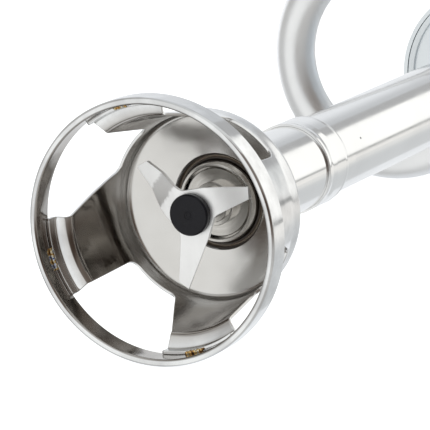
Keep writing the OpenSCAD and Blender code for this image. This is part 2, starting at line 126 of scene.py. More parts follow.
def resampled(points, step):
    """The path with extra points, so that no piece is longer than step."""
    result = [points[0]]
    for a, b in zip(points, points[1:]):
        count = max(1, math.ceil((b - a).length / step))
        result += [a.lerp(b, k / count) for k in range(1, count + 1)]
    return result


# ---- Meshes ----

def add_mesh(name, points, faces, body, slot_name, replaced, normals=None, sharp=32):
    """A piece from points in millimetres, which rides on a body and stands for CAD nodes."""
    mesh = bpy.data.meshes.new(name)
    mesh.from_pydata([Vector(p) * MM for p in points], [], faces)
    mesh.validate()
    mesh.shade_smooth()
    piece = bpy.data.objects.new(name, mesh)
    scene.collection.objects.link(piece)
    if normals:
        mesh.normals_split_custom_set_from_vertices(normals)
    else:
        mesh.set_sharp_from_angle(angle=math.radians(sharp))
        weighted = piece.modifiers.new("weighted_normals", "WEIGHTED_NORMAL")
        weighted.keep_sharp = True
    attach(piece, body)
    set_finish(piece, slot_name)
    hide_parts(*replaced)
    return piece


def lathe(name, outline, body, slot_name, replaced, segments=256):
    """A closed outline of (radius, y) points turned about the shaft axis, where it may begin and end."""
    solid = outline[0][0] == 0
    count = len(outline)
    points, faces = [], []
    for k in range(segments):
        a = math.tau * k / segments
        points += [(r * math.cos(a), y, r * math.sin(a)) for r, y in outline]
    starts = [k % segments * count for k in range(segments + 1)]
    for here, there in zip(starts, starts[1:]):
        for i in range(count - 1 if solid else count):
            j = (i + 1) % count
            corners = [here + i, here + j, there + j, there + i]
            if solid and i == 0:
                corners = [0, here + 1, there + 1]
            elif solid and j == count - 1:
                corners = [here + i, count - 1, there + i]
            faces.append(corners)
    piece = add_mesh(name, points, faces, body, slot_name, replaced)
    if solid:
        drop_loose_points(piece.data)
    return piece


def drop_loose_points(mesh):
    """Deletes the points that no face uses."""
    shape = bmesh.new()
    shape.from_mesh(mesh)
    bmesh.ops.delete(shape, geom=[v for v in shape.verts if not v.link_faces], context="VERTS")
    shape.to_mesh(mesh)
    shape.free()


def sweep(name, path, radii, body, slot_name, replaced, sides=16):
    """A closed tube along a path of points in millimetres, with a radius at each."""
    path = [Vector(p) for p in path]
    points, faces = [], []
    side = None
    for i, (p, r) in enumerate(zip(path, radii)):
        along = (path[min(i + 1, len(path) - 1)] - path[max(i - 1, 0)]).normalized()
        side = (side - along * side.dot(along) if side else along.orthogonal()).normalized()
        other = along.cross(side)
        points += [p + (side * math.cos(a) + other * math.sin(a)) * r
                   for a in (math.tau * k / sides for k in range(sides))]
    for i in range(len(path) - 1):
        for k in range(sides):
            j = (k + 1) % sides
            faces.append((i * sides + k, i * sides + j, (i + 1) * sides + j, (i + 1) * sides + k))
    faces.append(list(range(sides))[::-1])
    faces.append([(len(path) - 1) * sides + k for k in range(sides)])
    return add_mesh(name, points, faces, body, slot_name, replaced, sharp=60)


# ---- Bell: one pressed sheet with four windows, its edges rounded over ----

SHEET = 1.5
EDGE = 0.4
LEG_END = 8.5
WINDOW_END = 47.2
BELL_PATH = rounded([(51.85, LEG_END), (51.85, 14), (45.9, 16.4), (41.2, 48), (41, 56.6), (20.75, 63.4)],
                    [2.2, 2.2, 30, 4.5])


class Profile:
    """The bell's outer line, measured by the distance along it."""

    def __init__(self, path):
        self.points = resampled(path, 1.2)
        self.lengths = [0]
        for a, b in zip(self.points, self.points[1:]):
            self.lengths.append(self.lengths[-1] + (b - a).length)
        self.total = self.lengths[-1]

    def locate(self, keys, value):
        """Which stretch between rising keys holds a value, and how far along it, from 0 to 1."""
        for i in range(1, len(keys)):
            if value <= keys[i] or i == len(keys) - 1:
                span = keys[i] - keys[i - 1]
                return i - 1, min(max((value - keys[i - 1]) / span if span else 0, 0), 1)

    def point(self, distance):
        i, t = self.locate(self.lengths, distance)
        return self.points[i].lerp(self.points[i + 1], t)

    def normal(self, distance):
        step = 0.35
        along = self.point(min(distance + step, self.total)) - self.point(max(distance - step, 0))
        return Vector((along.y, -along.x)).normalized()

    def distance(self, station):
        i, t = self.locate([p.y for p in self.points], station)
        return self.lengths[i] + t * (self.lengths[i + 1] - self.lengths[i])


def window_side(profile, path, radii, middle, sign):
    """One side of a window, from its middle to the leg's end, as (angle in radians, distance) points."""
    side = []
    for across, station in resampled(rounded(path, radii), 0.8):
        distance = profile.distance(station)
        turn = math.asin(across / profile.point(distance).x)
        side.append(Vector((middle - sign * turn, distance)))
    return side


def shifted(chain, amount, scale):
    """The chain moved to its left by an amount in millimetres, where scale turns its x into millimetres."""
    flat = [Vector((p.x * scale, p.y)) for p in chain]
    moved = []
    for i, p in enumerate(flat):
        along = (flat[min(i + 1, len(flat) - 1)] - flat[max(i - 1, 0)]).normalized()
        q = p + Vector((-along.y, along.x)) * amount
        moved.append(Vector((q.x / scale, q.y)))
    return moved


class Sheet:
    """A plate: a flat pattern laid on a surface, with its edges rounded over.

    surface(p, depth) gives the point at a depth under a pattern point, and the outward normal there.
    """

    def __init__(self, surface, thickness, edge):
        self.surface, self.thickness, self.edge = surface, thickness, edge
        self.points, self.normals, self.faces = [], [], []

    def fill(self, loop, inside, hole=()):
        """Both sides of the plate; gives the numbers of the loop's points, and then of the hole's."""
        chains = [range(len(loop)), range(len(loop), len(loop) + len(hole))]
        border = [(c[i], c[(i + 1) % len(c)]) for c in chains for i in range(len(c))]
        flat, _, triangles, origins, _, _ = geometry.delaunay_2d_cdt(
            list(loop) + list(hole) + inside, border, [list(chains[0])], 1, 1e-5)
        index = {old: new for new, olds in enumerate(origins) for old in olds}
        for side, depth in ((1, 0), (-1, self.thickness)):
            for p in flat:
                q, n = self.surface(p, depth)
                self.points.append(q)
                self.normals.append(n * side)
        self.count = len(flat)
        if hole:
            middles = [sum((flat[i] for i in t), Vector((0, 0))) / 3 for t in triangles]
            triangles = [t for t, middle in zip(triangles, middles) if not encloses(hole, middle)]
        for a, b, c in triangles:
            self.faces.append((a, c, b))
            self.faces.append((self.count + a, self.count + b, self.count + c))
        return [index[i] for i in range(len(loop) + len(hole))]

    def rim(self, ids, chain, closed=False):
        """Rounds the plate over along a chain of its border points, the plate on the chain's left."""
        turns = [math.pi / 2 * k / 4 for k in range(1, 5)]
        last = len(chain) - 1
        rows = []
        for position, (i, p) in enumerate(zip(ids, chain)):
            before = chain[position - 1 if position or closed else 0]
            after = chain[(position + 1) % len(chain) if closed else min(position + 1, last)]
            outer, n = self.surface(p, 0)
            inner = self.surface(p, self.thickness)[0]
            along = self.surface(after, 0)[0] - self.surface(before, 0)[0]
            out = n.cross(along).normalized()
            row = [i]
            for base, up, angles in ((outer, n, turns), (inner, -n, turns[::-1])):
                for t in angles:
                    direction = up * math.cos(t) + out * math.sin(t)
                    self.points.append(base + (direction - up) * self.edge)
                    self.normals.append(direction)
                    row.append(len(self.points) - 1)
            row.append(self.count + i)
            rows.append(row)
        for first, second in zip(rows, rows[1:] + rows[:1] if closed else rows[1:]):
            for k in range(len(first) - 1):
                self.faces.append((first[k], second[k], second[k + 1], first[k + 1]))


def encloses(loop, p):
    """Whether a point lies inside a closed loop."""
    inside = False
    for a, b in zip(loop, [*loop[1:], loop[0]]):
        if (a.y > p.y) != (b.y > p.y) and p.x < a.x + (b.x - a.x) * (p.y - a.y) / (b.y - a.y):
            inside = not inside
    return inside


def bell():
    """Four equal quarters, each a leg with half a window on either side and the wall above them."""
    profile = Profile([Vector(p) for p in BELL_PATH])
    scale = 45  # millimetres of flat pattern to a radian
    seam = math.radians(45)
    straight = [(0, WINDOW_END), (18.5, WINDOW_END), (20.5, 17), (22.7, 13.9), (22.7, LEG_END)]
    slanted = [(0, WINDOW_END), (5, WINDOW_END), (15.3, 27.5), (20.9, 16.4), (23.2, 13.9), (23.2, LEG_END)]
    right = window_side(profile, straight, [4.5, 1.5, 1.5], seam, 1)
    left = window_side(profile, slanted, [4, 40, 1.5, 1.5], -seam, -1)
    end = resampled([left[-1], right[-1]], 0.02)
    inner = shifted(left + end[1:-1] + right[::-1], EDGE, scale)
    inner[0].x, inner[-1].x = -seam, seam
    top = profile.total - EDGE
    halves = 22
    columns = [seam * k / halves for k in range(-halves, halves + 1)]
    rows = [v for v in profile.lengths if inner[0].y < v < top]
    right_seam = [Vector((seam, v)) for v in rows]
    left_seam = [Vector((-seam, v)) for v in rows[::-1]]
    mouth = [Vector((u, top)) for u in columns[::-1]]
    window = [Vector((p.x * scale, p.y)) for p in inner]
    loop = window + [Vector((p.x * scale, p.y)) for p in right_seam + mouth + left_seam]
    mouth_gap, window_gap = 0.3, 0.45
    inside = []
    for v in profile.lengths:
        for u in columns[1:-1]:
            p = Vector((u * scale, v))
            if v < top - mouth_gap and encloses(loop, p):
                if min((q - p).length for q in window) > window_gap:
                    inside.append(p)

    def surface(p, depth):
        u, place, n = p.x / scale, profile.point(p.y), profile.normal(p.y)
        place = place - n * depth
        return (Vector((place.x * math.cos(u), at(place.y), place.x * math.sin(u))),
                Vector((n.x * math.cos(u), n.y, n.x * math.sin(u))))

    sheet = Sheet(surface, SHEET, EDGE)
    ids = sheet.fill(loop, inside)
    sheet.rim(ids[:len(window)], window)
    first = len(window) + len(right_seam)
    sheet.rim(ids[first:first + len(mouth)], loop[first:first + len(mouth)])
    points, normals, faces = [], [], []
    for k in range(4):
        turn = Matrix.Rotation(-math.radians(LEG_ANGLE + 90 * k), 3, "Y")
        base = len(points)
        points += [turn @ p for p in sheet.points]
        normals += [(turn @ n).normalized() for n in sheet.normals]
        faces += [tuple(base + i for i in face) for face in sheet.faces]
    return add_mesh("bell_sheet", points, faces, "housing", "polished_steel", ["bell"], normals)


# ---- Blade: three arms cut from one plate and bent by unlike amounts ----

BLADE_T = 1.9
BLADE_EDGE = 0.14
BLADE_HOLE_R = 3.2
NUT_GAP = 0.1
GRIND_WIDTH = 4.5
GRIND_LEFT = 0.3
# An arm's corners, along the arm and across it, and the radii that round them
ARM = [(9.3, -7.9), (31.6, -0.3), (29.1, 4.4), (10.5, 4.8), (8.5, 5.4)]
ARM_CORNERS = [5, 0.25, 0.35, 5, 0.9]
# The arms' directions in degrees, and how far each is bent back, between which two distances along it
ARM_TURNS = [-55.2, 64.8, 184.8]
ARM_BENDS = [(3.5, 12.9, 21), (-4.6, 9.5, 32), (-1.15, 9.5, 32)]


def blade():
    """The pattern lies in the plane across the shaft, with +Z to its right and +X up."""
    directions = [Vector((math.cos(math.radians(a)), math.sin(math.radians(a)))) for a in ARM_TURNS]
    edge = (Vector(ARM[1]) - Vector(ARM[0])).normalized()
    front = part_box("blade_nut")[1].y / MM + NUT_GAP
    corners = []
    for d in directions:
        corners += [d * x + Vector((-d.y, d.x)) * y for x, y in ARM]
    outline = rounded([corners[-1], *corners, corners[0]], ARM_CORNERS * 3, 5)[1:-1]
    loop = shifted(resampled(outline + [outline[0]], 1.1)[:-1], BLADE_EDGE, 1)
    turns = [math.tau * k / 32 for k in range(32)]
    hole = [Vector((math.cos(a), -math.sin(a))) * BLADE_HOLE_R for a in turns]

    def offset(p):
        """How far the plate is bent back, from the arm that the point is on."""
        reach, (drop, low, high) = max((p.dot(d), bend) for d, bend in zip(directions, ARM_BENDS))
        t = min(max((reach - low) / (high - low), 0), 1)
        return drop * (t if drop > 0 else t * t * (2 - t))

    def surface(p, depth):
        step = 0.05
        slope_z = (offset(p + Vector((step, 0))) - offset(p - Vector((step, 0)))) / (2 * step)
        slope_x = (offset(p + Vector((0, step))) - offset(p - Vector((0, step)))) / (2 * step)
        n = Vector((slope_x, -1, slope_z)).normalized()
        return Vector((p.y, front + offset(p), p.x)) - n * depth * ground(p), n

    def ground(p):
        """The share of the plate's thickness that the grinding of the leading edges leaves at a point."""
        d = max(directions, key=p.dot)
        x, y = p.dot(d), p.dot(Vector((-d.y, d.x)))
        from_edge = (y - ARM[0][1]) * edge.x - (x - ARM[0][0]) * edge.y
        share = GRIND_LEFT + (1 - GRIND_LEFT) * from_edge / GRIND_WIDTH
        return min(max(share, GRIND_LEFT), 1) if x > ARM[0][0] else 1

    pitch, reach, edge_gap, hole_gap = 1.2, 28, 0.5, 0.6
    inside = []
    for i in range(-reach, reach + 1):
        for k in range(-reach, reach + 1):
            p = Vector((i, k)) * pitch
            if p.length > BLADE_HOLE_R + hole_gap and encloses(loop, p):
                if min((q - p).length for q in loop) > edge_gap:
                    inside.append(p)
    plate = Sheet(surface, BLADE_T, BLADE_EDGE)
    ids = plate.fill(loop, inside, hole)
    plate.rim(ids[:len(loop)], loop, True)
    plate.rim(ids[len(loop):], hole, True)
    return add_mesh("blade_plate", plate.points, plate.faces, "drive_line", "blade_steel", ["blade"],
                    plate.normals)


# ---- Cap, hoop, face plate, collar and weld beads ----

def blade_cap():
    """A moulded cap with a small gate mark in its middle."""
    line = [(0, 34.22), (0.55, 34.22), (0.75, 34.1), (1.15, 34.1), (1.3, 34.25), (1.7, 34.25), (1.85, 34.1),
            (8.1, 34.1), (8.7, 34.7), (8.7, 37.2), (7, 37.2), (7, 35.2), (0, 35.2)]
    outline = rounded(line, [0.05, 0.05, 0.05, 0.05, 0.05, 0.05, 0, 0.5, 0.1, 0, 0], 4)
    return lathe("cap", [(r, at(y)) for r, y in outline], "drive_line", "black_nylon", ["blade_cap"], 160)


def guard_ring():
    """The hoop: a turned ring, well rounded at the front."""
    low, high = at(0), at(10.4)
    outline = rounded([(53.4, low), (55, low), (55, high), (51.9, high), (51.9, low), (53.4, low)],
                      [1.4, 0.4, 0.4, 1.4])[:-1]
    return lathe("guard_hoop", outline, "housing", "polished_steel", ["guard_ring"], 384)


def face_plate():
    """The housing's front plate: a flat face with a low raised rim."""
    line = [(21.4, 2.6), (40.3, 2.6), (40.5, 1.2), (43.3, 0.45), (43.3, 9), (21.4, 9)]
    outline = rounded(line, [0, 0.3, 0.3, 0.1, 0, 0], 6)
    return lathe("face_plate", outline, "housing", "housing_steel", ["front_plate"])


def neck_collar():
    """The turned collar over the neck's end, with a ridge at each end and a thin lip along the tube."""
    line = [(19.06, 129.5), (20, 129.5), (20, 131.3), (19.68, 133.6), (19.95, 137.5), (19.8, 146.6),
            (20, 147.6), (19.9, 148.5), (18.36, 149.6), (18.3, 160), (18.21, 160), (18.21, 142.05),
            (19.06, 142.05)]
    outline = rounded(line, [0.25, 1.2, 5, 12, 0.8, 0.5, 0.4, 0.6, 0.03, 0, 0], 6)
    return lathe("collar", [(r, at(y)) for r, y in outline], "housing", "tube_steel", ["neck_collar"])


def weld_beads():
    """A short rippled bead in the corner between the end of each leg and the hoop."""
    dice = random.Random(5)
    corner_r, corner_station = 51.75, 7.75
    for k in range(4):
        start = LEG_ANGLE + 90 * k - 5 + dice.uniform(-1.5, 1)
        length = dice.uniform(8.5, 11)
        path, radii = [], []
        steps = 44
        for i in range(steps + 1):
            t = i / steps
            a = math.radians(start + length * t)
            ripple = abs(math.sin(math.pi * t * 5 + k))
            size = (0.45 + 0.42 * ripple + dice.uniform(-0.05, 0.05)) * (1 - abs(2 * t - 1) ** 8 * 0.75)
            r = corner_r - size * 0.55
            y = at(corner_station + dice.uniform(-0.05, 0.05))
            path.append((r * math.cos(a), y, r * math.sin(a)))
            radii.append(size)
        sweep(f"weld_bead_{k}", path, radii, "housing", "weld_metal", ["ring_welds"])


# ---- Bow and springs ----

BOW_MIDDLE = Vector((-56.4, 8, 7.3))
BOW_R = 52.3
BOW_TUBE_R = 10
BOW_START = 37.6
BOW_TURN = 270
WIRE = 0.45


def bow():
    """The bent tube, from its upper end round to its lower one, in one plane across the shaft."""
    path = []
    steps = 144
    for k in range(steps + 1):
        a = math.radians(BOW_START + BOW_TURN * k / steps)
        path.append(BOW_MIDDLE + Vector((math.cos(a), 0, math.sin(a))) * BOW_R)
    sweep("bow_tube", path, [BOW_TUBE_R] * len(path), "housing", "bow_steel", ["bow_handle"], 64)


def spring(name, low, radius, length, turns):
    """A compression spring that stands on +Z, wound at an even pitch up to its given height, in
    millimetres.
    """
    per_turn = 28
    count = turns * per_turn
    path = []
    for i in range(count + 1):
        a = math.tau * turns * i / count
        height = WIRE + (length - 2 * WIRE) * i / count
        path.append(low + Vector((radius * math.cos(a), radius * math.sin(a), height)))
    piece = sweep(name + "_wire", path, [WIRE] * len(path), "housing", "spring_steel", [name], 10)
    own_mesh(piece)


# ---- Materials ----

class Look:
    """A material under construction: its shader and short ways to add nodes."""

    def __init__(self, name, color, metallic, roughness):
        self.material = bpy.data.materials.new(name)
        self.material.use_nodes = True
        self.tree = self.material.node_tree
        self.shader = self.tree.nodes["Principled BSDF"]
        self.shader.inputs["Base Color"].default_value = (*color, 1)
        self.shader.inputs["Metallic"].default_value = metallic
        self.shader.inputs["Roughness"].default_value = roughness
        self.bump = None

    def node(self, kind, **inputs):
        node = self.tree.nodes.new(kind)
        for key, value in inputs.items():
            node.inputs[key].default_value = value
        return node

    def link(self, source, target):
        self.tree.links.new(source, target)

    def coordinates(self, stretch=(1, 1, 1)):
        place = self.node("ShaderNodeTexCoord")
        mapping = self.node("ShaderNodeMapping", Scale=stretch)
        self.link(place.outputs["Object"], mapping.inputs["Vector"])
        return mapping.outputs["Vector"]

    def noise(self, scale, detail=4.0, stretch=(1, 1, 1)):
        noise = self.node("ShaderNodeTexNoise", Scale=scale, Detail=detail, Roughness=0.55)
        self.link(self.coordinates(stretch), noise.inputs["Vector"])
        return noise.outputs["Fac"]

    def ranged(self, source, low, high, start=0.3, end=0.7):
        """The source's values from start to end, spread from low to high and held beyond."""
        spread = self.node("ShaderNodeMapRange")
        for key, value in (("From Min", start), ("From Max", end), ("To Min", low), ("To Max", high)):
            spread.inputs[key].default_value = value
        self.link(source, spread.inputs["Value"])
        return spread.outputs["Result"]

    def mixed(self, source, dark, light, start=0.3, end=0.7):
        """A colour between two others, which are colours or sockets."""
        mix = self.tree.nodes.new("ShaderNodeMix")
        mix.data_type = "RGBA"
        self.link(self.ranged(source, 0, 1, start, end), mix.inputs["Factor"])
        for key, color in (("A", dark), ("B", light)):
            if isinstance(color, tuple):
                mix.inputs[key].default_value = (*color, 1)
            else:
                self.link(color, mix.inputs[key])
        return mix.outputs["Result"]

    def faces_out(self, start, end):
        """0 where the surface faces the shaft axis, and 1 where it faces away from it."""
        place = self.node("ShaderNodeTexCoord")
        flat = self.node("ShaderNodeVectorMath")
        flat.operation = "MULTIPLY"
        flat.inputs[1].default_value = (1, 0, 1)
        unit = self.node("ShaderNodeVectorMath")
        unit.operation = "NORMALIZE"
        dot = self.node("ShaderNodeVectorMath")
        dot.operation = "DOT_PRODUCT"
        self.link(place.outputs["Object"], flat.inputs[0])
        self.link(flat.outputs["Vector"], unit.inputs[0])
        self.link(unit.outputs["Vector"], dot.inputs[0])
        self.link(place.outputs["Normal"], dot.inputs[1])
        return self.ranged(dot.outputs["Value"], 0.2, 0.8, start, end)

    def vary_color(self, source, dark, light):
        ramp = self.tree.nodes.new("ShaderNodeValToRGB")
        ramp.color_ramp.elements[0].position, ramp.color_ramp.elements[1].position = 0.3, 0.7
        ramp.color_ramp.elements[0].color = (*dark, 1)
        ramp.color_ramp.elements[1].color = (*light, 1)
        self.link(source, ramp.inputs["Fac"])
        self.link(ramp.outputs["Color"], self.shader.inputs["Base Color"])

    def vary_roughness(self, source, low, high):
        self.link(self.ranged(source, low, high), self.shader.inputs["Roughness"])

    def add_bump(self, source, strength, distance):
        """A bump on top of those that the look already has."""
        bump = self.node("ShaderNodeBump", Strength=strength, Distance=distance)
        self.link(source, bump.inputs["Height"])
        if self.bump:
            self.link(self.bump.outputs["Normal"], bump.inputs["Normal"])
        self.bump = bump
        self.link(bump.outputs["Normal"], self.shader.inputs["Normal"])

    def around_shaft(self):
        """The distance from the shaft axis and the place along it, in metres."""
        place = self.node("ShaderNodeTexCoord")
        apart = self.node("ShaderNodeSeparateXYZ")
        join = self.node("ShaderNodeCombineXYZ")
        length = self.node("ShaderNodeVectorMath")
        length.operation = "LENGTH"
        self.link(place.outputs["Object"], apart.inputs[0])
        self.link(apart.outputs["X"], join.inputs["X"])
        self.link(apart.outputs["Z"], join.inputs["Z"])
        self.link(join.outputs[0], length.inputs[0])
        return length.outputs["Value"], apart.outputs["Y"]

    def turned_lines(self, radial, pitch):
        """Noise that runs in rings round the shaft axis, as a lathe leaves."""
        radius, along = self.around_shaft()
        join = self.node("ShaderNodeCombineXYZ")
        self.link(radius if radial else along, join.inputs["X"])
        noise = self.node("ShaderNodeTexNoise", Scale=1 / pitch, Detail=3.0, Roughness=0.6)
        self.link(join.outputs[0], noise.inputs["Vector"])
        return noise.outputs["Fac"]


def polished_steel():
    """Bell and hoop, with painted shade and painted light in the base colour: darkest on the inner faces of
    the leg strips and of the hoop, a little lighter on the inner face of the cup's floor, and lighter on
    the leg ends inside the hoop and on the outer faces.
    """
    look = Look("polished_steel", (0.64, 0.62, 0.595), 1.0, 0.08)
    radius, along = look.around_shaft()
    # Painted shade: the inner faces get darker base colours than the outer ones, darkest on the leg strips
    # and a little lighter on the cup's floor.
    shaded_legs = look.mixed(look.noise(30), (0.40, 0.375, 0.35), (0.48, 0.46, 0.44))
    shaded_disc = look.mixed(look.noise(30), (0.62, 0.61, 0.595), (0.69, 0.685, 0.675))
    inside = look.mixed(along, shaded_legs, shaded_disc, at(41) * MM, at(47) * MM)
    outside = look.mixed(look.noise(55, 5), (0.62, 0.625, 0.635), (0.80, 0.81, 0.82), 0.38, 0.6)
    cup = look.mixed(look.faces_out(-0.1, 0.15), inside, outside)
    # Painted light and painted shade by the hoop: the leg ends inside it are lighter, and its own inner
    # face takes the leg strips' painted shade.
    lit_feet_shaded_hoop = look.mixed(radius, (0.70, 0.70, 0.69), shaded_legs, 51.5 * MM, 51.8 * MM)
    hoop = look.mixed(look.faces_out(-0.8, -0.4), lit_feet_shaded_hoop, outside)
    look.link(look.mixed(along, hoop, cup, at(13.5) * MM, at(15.5) * MM), look.shader.inputs["Base Color"])
    roughness = look.node("ShaderNodeMath")
    look.link(look.ranged(look.noise(90, 6), 0.05, 0.13), roughness.inputs[0])
    look.link(look.ranged(along, 0, 0.1, at(46.5) * MM, at(48.5) * MM), roughness.inputs[1])
    look.link(roughness.outputs["Value"], look.shader.inputs["Roughness"])
    look.add_bump(look.noise(55, 1), 0.5, 0.0006)
    look.add_bump(look.noise(1600, 2, stretch=(1, 0.15, 1)), 0.06, 0.00003)
    return look.material


def tube_steel():
    look = Look("tube_steel", (0.80, 0.805, 0.81), 1.0, 0.1)
    look.vary_color(look.noise(25), (0.78, 0.785, 0.79), (0.83, 0.835, 0.84))
    look.vary_roughness(look.noise(60, 5), 0.08, 0.16)
    look.add_bump(look.turned_lines(False, 0.0004), 0.08, 0.00002)
    return look.material


def bow_steel():
    look = Look("bow_steel", (0.79, 0.80, 0.81), 1.0, 0.32)
    look.vary_color(look.noise(25), (0.76, 0.77, 0.785), (0.82, 0.83, 0.84))
    look.vary_roughness(look.noise(200, 5), 0.3, 0.4)
    look.add_bump(look.noise(600, 2), 0.04, 0.00002)
    return look.material


def housing_steel():
    look = Look("housing_steel", (0.73, 0.77, 0.80), 1.0, 0.34)
    look.vary_color(look.noise(20), (0.70, 0.74, 0.77), (0.76, 0.80, 0.83))
    look.vary_roughness(look.turned_lines(False, 0.0006), 0.28, 0.42)
    look.add_bump(look.turned_lines(False, 0.0003), 0.12, 0.00003)
    return look.material


def blade_steel():
    look = Look("blade_steel", (0.86, 0.865, 0.87), 1.0, 0.39)
    look.vary_color(look.noise(60), (0.83, 0.835, 0.84), (0.89, 0.895, 0.90))
    look.vary_roughness(look.noise(300, 4, stretch=(1, 1, 0.1)), 0.34, 0.44)
    look.add_bump(look.noise(1500, 3, stretch=(1, 1, 0.1)), 0.12, 0.00004)
    return look.material


def turned_steel():
    look = Look("turned_steel", (0.58, 0.565, 0.54), 1.0, 0.16)
    look.shader.inputs["Anisotropic"].default_value = 0.75
    tangent = look.node("ShaderNodeTangent")
    tangent.direction_type = "RADIAL"
    tangent.axis = "Y"
    look.link(tangent.outputs["Tangent"], look.shader.inputs["Tangent"])
    look.vary_color(look.turned_lines(True, 0.002), (0.52, 0.505, 0.48), (0.64, 0.625, 0.60))
    look.vary_roughness(look.turned_lines(True, 0.0008), 0.12, 0.26)
    look.add_bump(look.turned_lines(True, 0.0005), 0.3, 0.00004)
    return look.material


def plain_steel(name, color, low, high):
    look = Look(name, color, 1.0, (low + high) / 2)
    look.vary_color(look.noise(80), tuple(c * 0.93 for c in color), tuple(min(1, c * 1.05) for c in color))
    look.vary_roughness(look.noise(400, 4), low, high)
    look.add_bump(look.noise(1200, 3), 0.1, 0.00003)
    return look.material


def weld_metal():
    """Heat-stained steel, in patches from brown and straw to bare and blue."""
    look = Look("weld_metal", (0.6, 0.5, 0.36), 1.0, 0.3)
    ramp = look.tree.nodes.new("ShaderNodeValToRGB")
    brown, amber, straw = (0.10, 0.07, 0.06), (0.55, 0.30, 0.10), (0.78, 0.62, 0.30)
    bare, blue = (0.72, 0.72, 0.70), (0.25, 0.32, 0.55)
    first, last = ramp.color_ramp.elements
    first.position, first.color = 0.32, (*brown, 1)
    last.position, last.color = 0.68, (*blue, 1)
    for position, color in ((0.42, amber), (0.5, straw), (0.58, bare)):
        ramp.color_ramp.elements.new(position).color = (*color, 1)
    look.link(look.noise(420, 2), ramp.inputs["Fac"])
    look.link(ramp.outputs["Color"], look.shader.inputs["Base Color"])
    look.vary_roughness(look.noise(700, 3), 0.15, 0.45)
    look.add_bump(look.noise(900, 2), 0.6, 0.0003)
    return look.material


def plastic(name, color, low, high, grain, depth, gloss=0.5):
    look = Look(name, color, 0.0, (low + high) / 2)
    look.shader.inputs["Specular IOR Level"].default_value = gloss
    look.vary_color(look.noise(120), tuple(c * 0.8 for c in color), tuple(min(1, c * 1.2) for c in color))
    look.vary_roughness(look.noise(500, 4), low, high)
    look.add_bump(look.noise(grain, 3), 0.3, depth)
    return look.material


def seal_rubber():
    """Dark rubber with a painted highlight: a lighter ring of base colour between its two ribs."""
    look = Look("seal_rubber", (0.05, 0.036, 0.026), 0.0, 0.3)
    # Painted highlight: the lighter colour stands in for the light that the glossy hollow between the ribs
    # would catch.
    rib, light = (0.045, 0.033, 0.024), (0.30, 0.245, 0.19)
    look.shader.inputs["Specular IOR Level"].default_value = 0.6
    radius = look.around_shaft()[0]
    groove_highlight = look.mixed(radius, rib, light, 18.4 * MM, 18.8 * MM)
    color = look.mixed(radius, groove_highlight, rib, 19.3 * MM, 19.7 * MM)
    look.link(color, look.shader.inputs["Base Color"])
    look.vary_roughness(look.noise(500, 4), 0.25, 0.4)
    look.add_bump(look.noise(1200, 3), 0.3, 0.00004)
    return look.material


def add_materials():
    """One procedural material for each of the record's slots."""
    looks = {
        "polished_steel": polished_steel(),
        "weld_metal": weld_metal(),
        "tube_steel": tube_steel(),
        "bow_steel": bow_steel(),
        "blade_steel": blade_steel(),
        "turned_steel": turned_steel(),
        "housing_steel": housing_steel(),
        "shaft_steel": plain_steel("shaft_steel", (0.66, 0.66, 0.67), 0.15, 0.3),
        "screw_steel": plain_steel("screw_steel", (0.70, 0.70, 0.71), 0.2, 0.35),
        "spring_steel": plain_steel("spring_steel", (0.60, 0.60, 0.62), 0.2, 0.35),
        "bearing_steel": plain_steel("bearing_steel", (0.74, 0.75, 0.77), 0.05, 0.15),
        "laminated_steel": plain_steel("laminated_steel", (0.38, 0.39, 0.41), 0.4, 0.6),
        "copper": plain_steel("copper", (0.75, 0.38, 0.20), 0.25, 0.45),
        "cast_aluminium": plain_steel("cast_aluminium", (0.66, 0.67, 0.68), 0.4, 0.6),
        "brass": plain_steel("brass", (0.72, 0.56, 0.26), 0.2, 0.35),
        "bush_bronze": plain_steel("bush_bronze", (0.62, 0.42, 0.22), 0.35, 0.55),
        "carbon": plastic("carbon", (0.03, 0.03, 0.03), 0.5, 0.7, 1500, 0.00005),
        "seal_rubber": seal_rubber(),
        "black_nylon": plastic("black_nylon", (0.005, 0.005, 0.009), 0.25, 0.4, 900, 0.00002, 0.25),
        "grip_plastic": plastic("grip_plastic", (0.02, 0.021, 0.024), 0.45, 0.6, 1400, 0.00012),
        "button_red": plastic("button_red", (0.42, 0.02, 0.015), 0.2, 0.35, 700, 0.00002),
        "switch_plastic": plastic("switch_plastic", (0.06, 0.06, 0.06), 0.35, 0.5, 900, 0.00003),
        "board_green": plastic("board_green", (0.01, 0.09, 0.035), 0.25, 0.4, 600, 0.00003),
    }
    slots = {entry["node"]: entry["material_slot"] for entry in frame["record"]["subparts"]}
    for name, node in nodes.items():
        node.data.materials.clear()
        node.data.materials.append(looks[slots[name]])
    for piece in scene.objects:
        if piece.type == "MESH" and "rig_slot" in piece:
            piece.data.materials.append(looks[piece["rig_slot"]])


# ---- Camera and studio ----

def add_camera():
    """The camera stands in front of the bell, above it and on its +X side, and rolls a little."""
    data = bpy.data.cameras.new("camera")
    data.sensor_width = 36
    data.lens = 267.9
    data.clip_start = 0.05
    data.clip_end = 60
    camera = bpy.data.objects.new("camera", data)
    right = Vector((0.8926, 0.4486, -0.0452))
    back = Vector((0.4474, -0.8690, 0.2112))
    up = back.cross(right).normalized()
    right = up.cross(back).normalized()
    turn = Matrix((right, up, back)).transposed().to_4x4()
    place = Vector((0.59215, -1.45203, 0.27465))
    camera.matrix_world = Matrix.Translation(place) @ turn
    scene.collection.objects.link(camera)
    scene.camera = camera


